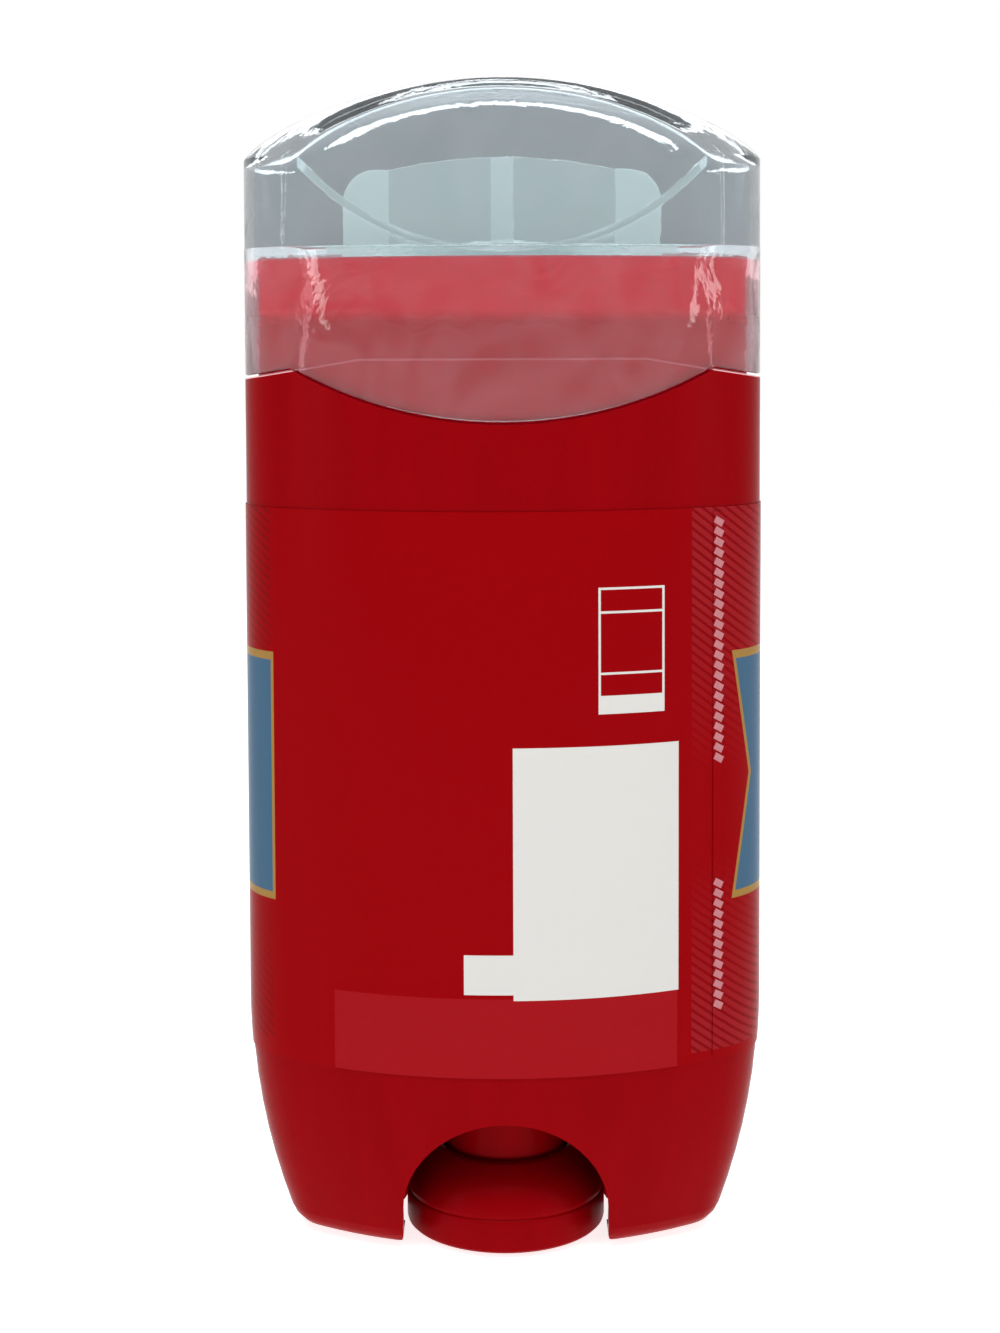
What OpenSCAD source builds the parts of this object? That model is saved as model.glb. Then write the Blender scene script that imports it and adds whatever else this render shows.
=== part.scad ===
// Twist-up deodorant stick: an oval barrel with a clear cap, a sealed gel stick and a screw lift.
// Millimetres, +Z up, the origin under the middle of the foot, the label side towards -Y.

/* [Barrel] */
// Width of the barrel
body_w = 64; // [60:1:72]
// Depth of the barrel
body_d = 34; // [32:1:38]
// Radius of the barrel's two ends
end_r = 11; // [10.5:0.5:12.5]
// Height of the neck's rim
rim_h = 121.5; // [115:0.5:130]
// Wall of the neck round the gel
neck_wall = 1.15; // [0.9:0.05:1.6]
// Wall of the hollow foot
foot_wall = 1.8; // [1.2:0.1:2.4]
// Height at which the foot starts to taper
taper_h = 30; // [26:1:31]
// Radius of the long curve of the taper
taper_r = 80; // [76:1:120]
// Radius of the foot's rounded lower edge
foot_r = 4; // [3:0.25:4.5]
// Width of the flat ring that the stick stands on
rim_flat = 1.2; // [0.8:0.1:1.5]
// Height of the floor under the gel
floor_h = 20; // [19:0.5:22]
// Thickness of that floor
floor_t = 2; // [1.4:0.1:3]

/* [Finger arches] */
// Radius of the arches at the front and back
arch_r = 12.6; // [12.6:0.1:14]
// Height of the centre of the arch's round top
arch_h = 5.15; // [4:0.05:6]
// Radius at the arch's lower corners
arch_flare = 1.6; // [1:0.1:2.4]

/* [Cap seat] */
// Drop from the rim to the seat at the two ends
seat_drop = 14.5; // [13:0.5:17]
// Rise of the seat from the ends to the middle
seat_rise = 2.45; // [1.5:0.05:3.5]
// Half length of the level stretch of the seat
seat_level = 16.9; // [12:0.1:20]
// Drop from the rim to the lowest point of the cap's tongues
tongue_drop = 19.8; // [19:0.1:24]
// Radius of the tongues' lower edge
tongue_r = 53.5; // [50:0.5:70]
// Step between the seat's land and the neck above it
neck_step = 0.2; // [0.1:0.05:0.3]
// Height of the snap beads below the rim
bead_drop = 7.4; // [5:0.1:9]
// Radius of the snap beads
bead_r = 0.45; // [0.3:0.05:0.5]
// How far each bead stands out of the neck
bead_out = 0.2; // [0.1:0.05:0.25]

/* [Cap] */
// Wall of the clear cap
cap_wall = 1.15; // [0.9:0.05:1.5]
// Clearance between the cap and what it covers
cap_gap = 0.3; // [0.3:0.05:0.5]
// Depth of the cap's upper part, between its flat faces
face_d = 20; // [18:0.5:24]
// Height of the crown above the rim
crown_h = 22.1; // [19:0.1:26]
// Rise of the crown above its end walls
crown_rise = 10; // [8:0.1:11]
// Fall of the crown from its ridge to the flat faces
face_fall = 0.65; // [0.2:0.05:1.2]

/* [Screw lift] */
// Radius of the dial
dial_r = 12.5; // [11.5:0.1:12.5]
// Height of the dial's upright edge
dial_edge = 4.5; // [3.5:0.1:5.5]
// Wall of the dial
dial_wall = 1.4; // [1:0.1:1.8]
// Ribs under the dial
dial_ribs = 8; // [6:1:12]
// Gap under the dial when the stick stands
dial_lift = 0.3; // [0.2:0.05:0.6]
// Height of the underside of the boss that holds the screw
boss_h = 9; // [8.6:0.1:10]
// Radius of that boss
boss_r = 7.5; // [6.5:0.1:8.5]
// Radius of the screw's plain journal
journal_r = 3; // [2.6:0.1:3.2]
// Radial clearance of the journal in its bearing
journal_gap = 0.05; // [0.02:0.01:0.1]
// Radius of the screw's core
core_r = 3.4; // [3:0.1:3.8]
// Height of the screw's thread above its core
thread_h = 1.1; // [0.8:0.1:1.3]
// Rise of the lift in one turn
lead = 4; // [3.6:0.1:4.6]
// Turns from the lowest to the highest place of the lift
turns = 19; // [15:1:19]
// Clearance between the screw and what it runs in
screw_gap = 0.35; // [0.3:0.05:0.45]

/* [Elevator and gel] */
// Height of the elevator's deck when the stick is new
deck_h = 40; // [38:0.5:42]
// Thickness of the deck
deck_t = 1.6; // [1.2:0.1:2.2]
// Depth of the elevator's skirt under the deck
skirt_h = 10; // [7:0.5:12]
// Wall of the skirt and of the ring on the deck
skirt_wall = 1.2; // [0.9:0.1:1.6]
// Height of the ring that keys the gel to the deck
key_h = 4; // [3:0.5:6]
// Clearance between the stick and the bore that it rises in
stick_gap = 0.3; // [0.3:0.05:0.5]
// Rise of the seal's dome above the rim
dome_rise = 2.5; // [1.5:0.1:3.5]
// Fall of the dome from its middle to its ends
dome_sag = 9; // [7:0.5:9.5]
// Radius of the dome across the depth
dome_side = 15; // [14.2:0.1:15.5]

/* [Factory seal] */
// Wall of the seal
seal_wall = 0.9; // [0.7:0.05:1.1]
// Width of the pinch fin
fin_w = 39.3; // [34:0.1:44]
// Height of the fin's ends above the rim
fin_h = 11.2; // [9:0.1:13]
// How far the fin's middle rises above its ends
fin_crown = 1.5; // [0.5:0.1:2]
// Thickness of the fin's web
fin_web = 1; // [0.8:0.1:1.4]
// Width of the thick pads at the fin's ends
pad_w = 5.6; // [4:0.1:7]
// Thickness of the pads
pad_t = 2.2; // [1.8:0.1:3]
// Width of the rib in the middle of the fin
rib_w = 2.8; // [2:0.1:4]
// Radius at the pads' upper corners
pad_r = 4; // [2:0.5:5]
// Length of the dished wings
wing_l = 49.2; // [44:0.2:52]
// Clearance between the wings and the cap's flat faces
wing_gap = 0.45; // [0.3:0.05:2]
// Radius of the wings' dish
wing_r = 33; // [30:0.5:40]
// Height of the dish's lowest point above the rim
wing_low = 1.3; // [0.8:0.1:2]

/* [Label] */
// Height of the label's lower edge
label_low = 23.7; // [20:0.1:25.5]
// Height of the label's upper edge
label_high = 91.5; // [80:0.5:96]
// Thickness of the film
film_t = 0.12; // [0.08:0.02:0.2]
// Distance of the film's lap from the barrel's right end
lap_in = 0.3; // [0.2:0.1:8]
// Width of the lap
lap_w = 1.2; // [0.8:0.1:2]

/* [Hidden] */
$fn = 128;
half_w = body_w / 2;
half_d = body_d / 2;

// Steps of the drawn curves
arc_steps = 8;
// Overlap of joined solids and overshoot of cuts
lap = 0.5;
// Clearance of the film from the barrel
film_gap = 0.02;

// The oval: two round ends, and two long faces that touch them at the angle meet
end_x = half_w - end_r;
face_r = (pow(end_x, 2) + pow(half_d, 2) - pow(end_r, 2)) / (2 * (half_d - end_r));
face_y = face_r - half_d;
meet = atan2(end_x, face_y);
meet_x = end_x + end_r * sin(meet);
// How far the ends stand out of the faces where they meet, so that the two cross cleanly
end_out = 0.02;

// Insets from the barrel's outline
land_inset = cap_wall + cap_gap;
neck_inset = land_inset + neck_step;
bore_inset = neck_inset + neck_wall;
stick_inset = bore_inset + stick_gap;
key_inset = stick_inset + 4.4;

// Depth of the seal's wings, between the cap's flat faces
wing_d = face_d - 2 * (cap_wall + wing_gap);

// Heights
floor_top = floor_h + floor_t;
ledge_under = rim_h + cap_gap;
ledge_top = ledge_under + cap_wall;
crown_top = rim_h + crown_h;
seat_end = rim_h - seat_drop;
seat_mid = seat_end + seat_rise;
tongue_low = rim_h - tongue_drop;
bead_z = rim_h - bead_drop;
bead_turn = 50;

// The long taper and the rounded foot, measured from the outline, which touch at taper_turn
foot_x = -taper_r + sqrt(pow(taper_r - foot_r, 2) - pow(taper_h - foot_r, 2));
taper_turn = atan2(foot_r - taper_h, foot_x + taper_r);

// The lift
travel = lead * turns;
thread_r = core_r + thread_h;
stick_bore = thread_r + screw_gap;
flange_z = floor_top + screw_gap;
flange_t = 1.2;
flange_r = thread_r + 1;
thread_low = flange_z + flange_t;
tip_short = 5;
screw_top = deck_h + travel - tip_short;
thread_turns = floor((screw_top - thread_low) / lead * 2) / 2 - 0.5;
hub_low = deck_h - skirt_h - 4;
hub_r = stick_bore + 1.6;
nut_crest = core_r + screw_gap;
nut_turns = 1;
nut_edge = 1.2;
nut_low = thread_low + lead * ceil((hub_low + nut_edge - thread_low) / lead);
dial_hub_r = 4.4;
dial_top = boss_h - stick_gap;
foot_hex = 2.4;
foot_hex_gap = 0.05;
foot_end = 1.8;

// How far the crown stays inside the lower band's outline
crown_in = 0.05;

// The dome of the gel, and the seal over it
stick_w = half_w - stick_inset;
gel_top = rim_h + dome_rise - seal_wall - stick_gap;
dome_r = (pow(stick_w, 2) + pow(dome_sag, 2)) / (2 * dome_sag);
dome_z = gel_top - dome_side;

// Points of an arc about (cx, cz)
function arc(cx, cz, r, from, to, steps) =
    [for (i = [0 : steps]) let (t = from + (to - from) * i / steps) [cx + r * cos(t), cz + r * sin(t)]];

// Upright edge at a distance outside the outline
function upright(out, low, high) = [[out, low], [out, high]];

// Edge of the long taper between two heights
function taper_edge(out, from, to) = let (
        start = asin((from - taper_h) / (taper_r + out)), stop = asin(min(0, to - taper_h) / (taper_r + out)))
    concat(arc(-taper_r, taper_h, taper_r + out, start, stop, arc_steps), to > taper_h ? [[out, to]] : []);

// Edge of the foot up to a height: its rounded corner and the taper
function foot_edge(out, high) = let (touch = taper_h + (taper_r + out) * sin(taper_turn)) concat(
    arc(foot_x, foot_r, foot_r + out, -90, taper_turn * 0.8, arc_steps / 2),
    taper_edge(out, touch, high));

// Half width of the oval at a depth
function oval_reach(y, out) = abs(y) < (end_r + out) * cos(meet)
    ? end_x + sqrt(pow(end_r + out, 2) - y * y)
    : sqrt(pow(face_r + out, 2) - pow(abs(y) + face_y, 2));

// Section of a round solid from its axis to an edge, whose points are [distance outside r, height]
module edge_section(r, edge) {
    last = edge[len(edge) - 1];
    polygon(concat([[0, edge[0][1]]], [for (p = edge) [r + p[0], p[1]]], [[0, last[1]]]));
}

// A solid oval whose edge is listed from its bottom to its top: two round ends and a lens between them
module oval_solid(edge) {
    low = edge[0][1];
    high = edge[len(edge) - 1][1];
    corner = [end_x + body_d * sin(meet), body_d * cos(meet)];
    intersection() {
        translate([0, face_y, 0]) rotate_extrude() edge_section(face_r, edge);
        translate([0, -face_y, 0]) rotate_extrude() edge_section(face_r, edge);
        translate([0, 0, low - lap]) linear_extrude(height = high - low + 2 * lap) polygon([
            [end_x, 0], corner, [-corner[0], corner[1]], [-end_x, 0], -corner, [corner[0], -corner[1]]]);
    }
    for (side = [-1, 1]) translate([side * end_x, 0, 0])
        rotate_extrude() edge_section(end_r + end_out, edge);
}

// A straight oval column
module oval_column(inset, low, high) {
    oval_solid(upright(-inset, low, high));
}

// A straight oval tube
module oval_tube(outer, inner, low, high) {
    difference() {
        oval_column(outer, low, high);
        oval_column(inner, low - lap, high + lap);
    }
}

// A cylinder lying along the depth
module cross_cylinder(r, z, length) {
    translate([0, length / 2, z]) rotate([90, 0, 0]) cylinder(r = r, h = length);
}

// Ring of a thread's cross-section, turned and raised along the helix
function thread_ring(root, crest, low, turn) = let (wide = lead * 0.22, narrow = lead * 0.1,
        ring = [[root, -wide], [crest, -narrow], [crest, narrow], [root, wide]],
        order = root < crest ? [0, 1, 2, 3] : [3, 2, 1, 0])
    [for (k = order) let (p = ring[k])
        [p[0] * cos(turn * 360), p[0] * sin(turn * 360), low + lead * turn + p[1]]];

// A thread ridge from its root to its crest, inwards or outwards
module thread(root, crest, low, turn_count) {
    steps = 14;
    sides = 4;
    count = round(turn_count * steps);
    rings = [for (i = [0 : count]) each thread_ring(root, crest, low, i / steps)];
    walls = [for (i = [0 : count - 1], k = [0 : sides - 1])
        let (a = i * sides + k, b = i * sides + (k + 1) % sides, c = a + sides, d = b + sides)
        each [[a, d, c], [a, b, d]]];
    first = [[2, 1, 0], [3, 2, 0]];
    last = [for (f = first) [for (k = [2, 1, 0]) f[k] + count * sides]];
    polyhedron(points = rings, faces = concat(walls, first, last));
}

// Everything below the seat's line, raised by lift
module below_seat(lift) {
    reach = half_w + lap;
    slope = seat_rise / (half_w - seat_level);
    edge = seat_end - slope * lap;
    rotate([90, 0, 0]) linear_extrude(height = body_d + 2 * lap, center = true)
        polygon([
            [-reach, -lap], [reach, -lap], [reach, edge + lift], [seat_level, seat_mid + lift],
            [-seat_level, seat_mid + lift], [-reach, edge + lift]]);
}

// The round-ended space that a cap's tongue fills
module tongue_space(gap) {
    cross_cylinder(tongue_r - gap, tongue_low + tongue_r, body_d + 2 * lap);
}

// The finger arches, cut right through the foot
module arch_space() {
    spread = arch_r + arch_flare;
    rotate([90, 0, 0]) linear_extrude(height = body_d + 2 * lap, center = true) polygon(concat(
        [[-spread, -lap], [spread, -lap]],
        arc(spread, arch_flare, arch_flare, 270, 180, arc_steps / 2),
        arc(0, arch_h, arch_r, 0, 180, 3 * arc_steps),
        arc(-spread, arch_flare, arch_flare, 0, -90, arc_steps / 2)));
}

module barrel() {
    neck_low = tongue_low - 2 * lap;
    mouth = foot_x - rim_flat;
    color("firebrick") difference() {
        union() {
            difference() {
                union() {
                    difference() {
                        intersection() {
                            oval_solid(foot_edge(0, seat_mid + lap));
                            below_seat(0);
                        }
                        tongue_space(0);
                    }
                    intersection() {
                        oval_column(land_inset, neck_low, rim_h);
                        below_seat(0);
                    }
                    oval_column(neck_inset, neck_low, rim_h);
                    snap_beads();
                }
                oval_column(bore_inset, floor_top, rim_h + lap);
                oval_solid(concat([[mouth, -lap], [mouth, foot_wall]], foot_edge(-foot_wall, floor_h)));
                arch_space();
            }
            boss();
        }
        translate([0, 0, boss_h - lap]) cylinder(r = journal_r + journal_gap, h = floor_top - boss_h + 2 * lap);
    }
}

// Short beads on the neck's two ends, which hold the cap
module snap_beads() {
    for (side = [0, 180]) rotate(side) translate([end_x, 0, 0]) rotate(-bead_turn)
        rotate_extrude(angle = 2 * bead_turn)
            polygon(arc(end_r - neck_inset + bead_out - bead_r, bead_z, bead_r, -90, 90, arc_steps));
}

// The cored boss under the floor, with the screw's bearing in its middle
module boss() {
    bearing_r = journal_r + 1.6;
    difference() {
        translate([0, 0, boss_h]) cylinder(r = boss_r, h = floor_h + lap - boss_h);
        translate([0, 0, boss_h - lap]) cylinder(r = boss_r - foot_wall / 2, h = floor_h - boss_h + lap);
    }
    translate([0, 0, boss_h]) cylinder(r = bearing_r, h = floor_h + lap - boss_h);
    for (i = [0 : 5]) rotate(i * 60) translate([bearing_r - lap, -foot_wall / 4, boss_h])
        cube([boss_r - bearing_r, foot_wall / 2, floor_h - boss_h + lap]);
}

module dial() {
    edge_r = 0.8;
    edge_top = dial_lift + dial_edge;
    inside = dial_r - dial_wall;
    rib_low = dial_lift + dial_wall;
    rib_high = edge_top - lap;
    hub = dial_hub_r;
    color("firebrick") difference() {
        union() {
            rotate_extrude() polygon(concat(
                [[0, dial_lift], [hub, dial_lift], [hub, dial_top - dial_wall],
                    [inside, edge_top - dial_wall], [inside, dial_lift]],
                arc(dial_r - edge_r, dial_lift + edge_r, edge_r, -60, 0, 2),
                arc(dial_r - edge_r, edge_top - edge_r, edge_r, 0, 60, 2),
                [[hub, dial_top], [0, dial_top]]));
            for (i = [0 : dial_ribs - 1]) rotate(i * 360 / dial_ribs)
                translate([hub - lap, -dial_wall / 3, rib_low])
                    cube([inside - hub + 2 * lap, dial_wall * 2 / 3, rib_high - rib_low]);
        }
        translate([0, 0, foot_end]) cylinder(r = foot_hex + foot_hex_gap, h = dial_top, $fn = 6);
    }
}

module feed_screw() {
    tip_r = core_r * 0.6;
    color("whitesmoke") {
        rotate_extrude() polygon([
            [0, dial_top - lap], [foot_hex * cos(30), dial_top - lap], [foot_hex * cos(30), dial_top + lap],
            [journal_r, dial_top + lap], [journal_r, flange_z], [flange_r, flange_z],
            [flange_r, thread_low], [core_r, thread_low], [core_r, screw_top - core_r + tip_r],
            [tip_r, screw_top], [0, screw_top]]);
        translate([0, 0, foot_end + foot_hex_gap])
            cylinder(r = foot_hex, h = dial_top - foot_end, $fn = 6);
        thread(core_r - lap, thread_r, thread_low + lead / 2, thread_turns);
    }
}

// The ring that keys the gel, made larger by grow for the groove in the gel
module key_ring(grow) {
    oval_tube(key_inset - grow, key_inset + skirt_wall + grow, deck_h - lap, deck_h + key_h + grow);
}

module elevator() {
    gate_r = 2;
    under = deck_h - deck_t - skirt_h;
    gate_x = [11, 17];
    gate_y = 2.8;
    color("white") {
        difference() {
            union() {
                difference() {
                    oval_column(stick_inset, under, deck_h);
                    oval_column(stick_inset + skirt_wall, under - lap, deck_h - deck_t);
                }
                translate([0, 0, hub_low]) cylinder(r = hub_r, h = deck_h - hub_low);
                key_ring(0);
                for (side = [0, 180]) rotate(side)
                    translate([hub_r - lap, -skirt_wall / 2, under + lap])
                        cube([stick_w - hub_r, skirt_wall, skirt_h]);
            }
            translate([0, 0, hub_low - lap]) cylinder(r = stick_bore, h = deck_h - hub_low + 2 * lap);
            for (side = [-1, 1], x = gate_x, y = [-gate_y, gate_y])
                translate([side * x, y, deck_h - deck_t - lap]) cylinder(r = gate_r, h = deck_t + 2 * lap);
        }
        thread(stick_bore + lap, nut_crest, nut_low, nut_turns);
    }
}

module gel_stick() {
    color("lightcyan") difference() {
        oval_column(stick_inset, deck_h, gel_top + lap);
        above_dome(0);
        translate([0, 0, deck_h - lap]) cylinder(r = stick_bore, h = screw_top + 1 - deck_h + lap);
        key_ring(stick_gap);
    }
}

// The round cross-section of the dome, swept along the arc that falls to its two ends
module dome_sweep() {
    sector = 100;
    translate([0, 0, gel_top - dome_r]) rotate([90, sector / 2 - 90, 0]) rotate_extrude(angle = sector)
        translate([dome_r - dome_side, 0]) children();
}

// The dome over the gel, grown by out
module dome(out) {
    dome_sweep() circle(r = dome_side + out);
}

// All that lies above the dome
module above_dome(out) {
    dome_sweep() difference() {
        translate([0, -half_d]) square([dome_side + 12, body_d]);
        circle(r = dome_side + out);
    }
}

// The fin's outline: level ends with round corners, and a middle that rises
function fin_outline() = let (end = fin_w / 2, level = end - pad_w, top = rim_h + fin_h,
        r = (pow(level, 2) + pow(fin_crown, 2)) / (2 * fin_crown), half = asin(level / r)) concat(
    [[-end, rim_h - dome_sag], [end, rim_h - dome_sag]],
    arc(end - pad_r, top - pad_r, pad_r, 0, 90, arc_steps),
    arc(0, top + fin_crown - r, r, 90 - half, 90 + half, 2 * arc_steps),
    arc(pad_r - end, top - pad_r, pad_r, 90, 180, arc_steps));

module fin_slab(thickness, from, to) {
    intersection() {
        rotate([90, 0, 0]) linear_extrude(height = thickness, center = true) polygon(fin_outline());
        translate([from, -thickness, 0]) cube([to - from, 2 * thickness, crown_top]);
    }
}

module factory_seal() {
    over = stick_gap + seal_wall;
    end = fin_w / 2;
    skirt_low = dome_z + dome_side - dome_r + sqrt(pow(dome_r + over, 2) - pow(stick_w, 2)) - lap;
    color("azure") {
        difference() {
            union() {
                difference() {
                    oval_column(stick_inset, dome_z + lap, rim_h + dome_rise + lap);
                    above_dome(over);
                }
                oval_tube(stick_inset, stick_inset + seal_wall, skirt_low, rim_h);
                fin_slab(fin_web, -end, end);
                fin_slab(pad_t, -end, pad_w - end);
                fin_slab(pad_t, end - pad_w, end);
                fin_slab(pad_t * 0.9, -rib_w / 2, rib_w / 2);
                intersection() {
                    difference() {
                        cross_cylinder(wing_r + seal_wall, rim_h + wing_low + wing_r, wing_d);
                        cross_cylinder(wing_r, rim_h + wing_low + wing_r, wing_d + lap);
                    }
                    translate([-wing_l / 2, -wing_d / 2, rim_h - lap]) cube([wing_l, wing_d, crown_h]);
                }
            }
            dome(stick_gap);
        }
    }
}

// One section of the crown at a depth, inset from the outside and reaching down to low
function crown_section(y, inset, low, steps) = let (w = oval_reach(y, -inset - crown_in),
        rise = crown_rise - face_fall * pow(2 * y / face_d, 2)) concat(
    [for (i = [0 : steps]) let (t = 180 * i / steps - 90)
        [w * sin(t), y, crown_top - crown_rise - inset + rise * pow(max(cos(t), 0), 1.5)]],
    [[w, y, low], [-w, y, low]]);

// The crown between its two flat faces
module crown(inset, low) {
    steps = 20;
    slices = 12;
    reach = face_d / 2 - inset;
    count = steps + 3;
    sections = [for (i = [0 : slices]) each crown_section(reach * (2 * i / slices - 1), inset, low, steps)];
    walls = [for (i = [0 : slices - 1], k = [0 : count - 1])
        let (a = i * count + k, b = i * count + (k + 1) % count, c = a + count, d = b + count)
        each [[a, c, d], [a, d, b]]];
    front = [for (k = [0 : count - 1]) k];
    back = [for (k = [count - 1 : -1 : 0]) slices * count + k];
    polyhedron(points = sections, faces = concat(walls, [front, back]));
}

module cap() {
    color("lightsteelblue", 0.4) difference() {
        union() {
            oval_column(0, tongue_low, ledge_top);
            crown(0, ledge_top - 2 * lap);
        }
        oval_column(cap_wall, tongue_low - lap, ledge_under);
        crown(cap_wall, ledge_under - lap);
        difference() {
            below_seat(cap_gap);
            tongue_space(cap_gap);
        }
    }
}

// A film between two distances from the barrel
module film(inner, outer, low, high) {
    difference() {
        oval_solid(taper_edge(outer, low, high));
        oval_solid(taper_edge(inner, low - lap, high + lap));
    }
}

module label_film() {
    color("crimson") {
        film(film_gap, film_gap + film_t, label_low, label_high);
        intersection() {
            film(film_gap + film_t / 2, film_gap + 2 * film_t, label_low + lap, label_high - lap);
            translate([meet_x - lap_in - lap_w, -body_d, 0]) cube([lap_w, body_d, rim_h]);
        }
    }
}

barrel();
dial();
feed_screw();
elevator();
gel_stick();
factory_seal();
cap();
label_film();
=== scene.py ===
"""Twist-up deodorant stick with a clear cap, dressed around its CAD frame."""

import math

import bmesh
import bpy
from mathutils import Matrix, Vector


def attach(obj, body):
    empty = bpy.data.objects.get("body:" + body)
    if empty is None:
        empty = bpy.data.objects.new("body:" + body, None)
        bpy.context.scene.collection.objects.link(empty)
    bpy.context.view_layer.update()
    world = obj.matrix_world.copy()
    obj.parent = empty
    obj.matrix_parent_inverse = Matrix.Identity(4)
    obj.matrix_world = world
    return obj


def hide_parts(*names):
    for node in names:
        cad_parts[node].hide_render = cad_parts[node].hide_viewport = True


bl_info = {
    "name": "Deodorant Stick",
    "version": (1, 0, 0),
    "blender": (4, 5, 0),
    "location": "View3D > Sidebar > Stick",
    "description": "Builds the visible pieces of a twist-up deodorant stick around its CAD frame",
    "category": "Add Mesh",
}

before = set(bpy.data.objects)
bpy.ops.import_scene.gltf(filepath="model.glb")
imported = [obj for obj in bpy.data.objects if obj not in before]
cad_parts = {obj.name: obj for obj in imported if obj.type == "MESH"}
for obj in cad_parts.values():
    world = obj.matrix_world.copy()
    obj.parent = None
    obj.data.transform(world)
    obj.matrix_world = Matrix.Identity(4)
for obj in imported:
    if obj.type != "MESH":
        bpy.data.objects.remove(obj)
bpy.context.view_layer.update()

MM = 0.001

# The barrel's oval, from the CAD source: two round ends and two long faces, in millimetres
HALF_W, HALF_D, END_R = 32.0, 17.0, 11.0
END_X = HALF_W - END_R
FACE_R = (END_X**2 + HALF_D**2 - END_R**2) / (2 * (HALF_D - END_R))
FACE_Y = FACE_R - HALF_D
MEET = math.atan2(END_X, FACE_Y)

# Heights of the cap and its seat
RIM_H = 121.5
TONGUE_LOW, TONGUE_R = 101.7, 53.5
SEAT_END, SEAT_MID, SEAT_LEVEL = 107.0, 109.45, 16.9
CAP_GAP = 0.3
LEDGE_UNDER, LEDGE_TOP = 121.8, 122.95
CROWN_TOP, CROWN_RISE, FACE_FALL = 143.6, 10.0, 0.65
FACE_HALF = 10.0
# The seal's fin: its pads lie beyond one half width, its rib within another, and all within a half thickness
FIN_PAD, FIN_RIB, FIN_HALF = 14.05, 1.4, 1.2
# The dial's edge, and the dome that swells from it towards the bearing boss
DIAL_EDGE_R, DIAL_EDGE_H, DIAL_SWELL, BOSS_CLEAR = 12.3, 4.6, 7.7, 8.1
# The snap beads round the neck
BEAD_H = 114.1
# The line of the twisted border on the film's lap, and the two spans that it runs over
BORDER_X, BORDER_OUT = 25.85, 0.29
BORDER_SPANS = ((30.6, 47.0), (61.0, 91.0))


def linear(hex_colour):
    """A linear RGBA colour from an sRGB hex value."""
    parts = [int(hex_colour[i : i + 2], 16) / 255 for i in (1, 3, 5)]
    return [c / 12.92 if c <= 0.04045 else ((c + 0.055) / 1.055) ** 2.4 for c in parts] + [1.0]


# ---- shared helpers ----


def feed(tree, node, inputs):
    """Sets a node's inputs, by name or in order, to a value, a socket or a node, which stands for its result."""
    used = [socket for socket in node.inputs if socket.enabled]
    if isinstance(inputs, dict):
        named = {socket.name: socket for socket in used}
        used, inputs = [named[name] for name in inputs], inputs.values()
    for socket, value in zip(used, inputs):
        if isinstance(value, bpy.types.Node):
            value = next(output for output in value.outputs if output.enabled)
        if isinstance(value, bpy.types.NodeSocket):
            tree.links.new(value, socket)
        else:
            socket.default_value = value


def put(tree, kind, inputs=(), **settings):
    """Adds a node with its settings and its inputs."""
    node = tree.nodes.new(kind)
    for name, value in settings.items():
        setattr(node, name, value)
    feed(tree, node, inputs)
    return node


def finish_of(name):
    """A new material with its node tree, its shader and the Object coordinates."""
    material = bpy.data.materials.new(name)
    material.use_nodes = True
    tree = material.node_tree
    shader = tree.nodes["Principled BSDF"]
    place = put(tree, "ShaderNodeTexCoord").outputs["Object"]
    return material, tree, shader, place


def millimetres(tree, place):
    """The three coordinates of a place in millimetres."""
    scaled = put(tree, "ShaderNodeMapping", {"Vector": place, "Scale": (1 / MM, 1 / MM, 1 / MM)})
    return put(tree, "ShaderNodeSeparateXYZ", {"Vector": scaled}).outputs


def layered(tree, ground, layers):
    """A ground colour with layers over it, each given as the share that it covers and its colour."""
    for share, colour in layers:
        ground = put(tree, "ShaderNodeMix", [share, ground, colour], data_type="RGBA")
    return ground


def overlap(tree, *shares):
    """The share that lies in all of the given ones."""
    common = shares[0]
    for share in shares[1:]:
        common = put(tree, "ShaderNodeMath", [common, share], operation="MULTIPLY")
    return common


def shaded(colour, factor):
    """A colour made darker or paler by a factor."""
    return [min(1.0, c * factor) for c in colour[:3]] + [1.0]


def new_piece(name, mesh, material, body):
    """Links a finished mesh as a piece that rides on a body."""
    obj = bpy.data.objects.new(name, mesh)
    bpy.context.scene.collection.objects.link(obj)
    obj.data.materials.clear()
    obj.data.materials.append(material)
    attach(obj, body)
    return obj


def sharpen(bm, angle):
    """Smooth faces, with edges kept sharp where they turn by more than the angle."""
    for face in bm.faces:
        face.smooth = True
    for edge in bm.edges:
        turn = edge.calc_face_angle(0.0) if len(edge.link_faces) == 2 else 0.0
        edge.smooth = turn < math.radians(angle)


def turned(bm, profile, count=128):
    """Adds a closed ring turned about the Z axis from a closed profile of radius and height in millimetres."""
    rings = []
    for k in range(count):
        turn = 2 * math.pi * k / count
        rings.append([bm.verts.new((r * math.cos(turn) * MM, r * math.sin(turn) * MM, z * MM)) for r, z in profile])
    for k, ring in enumerate(rings):
        after = rings[(k + 1) % count]
        for i in range(len(ring)):
            j = (i + 1) % len(ring)
            bm.faces.new((ring[i], after[i], after[j], ring[j]))


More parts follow.
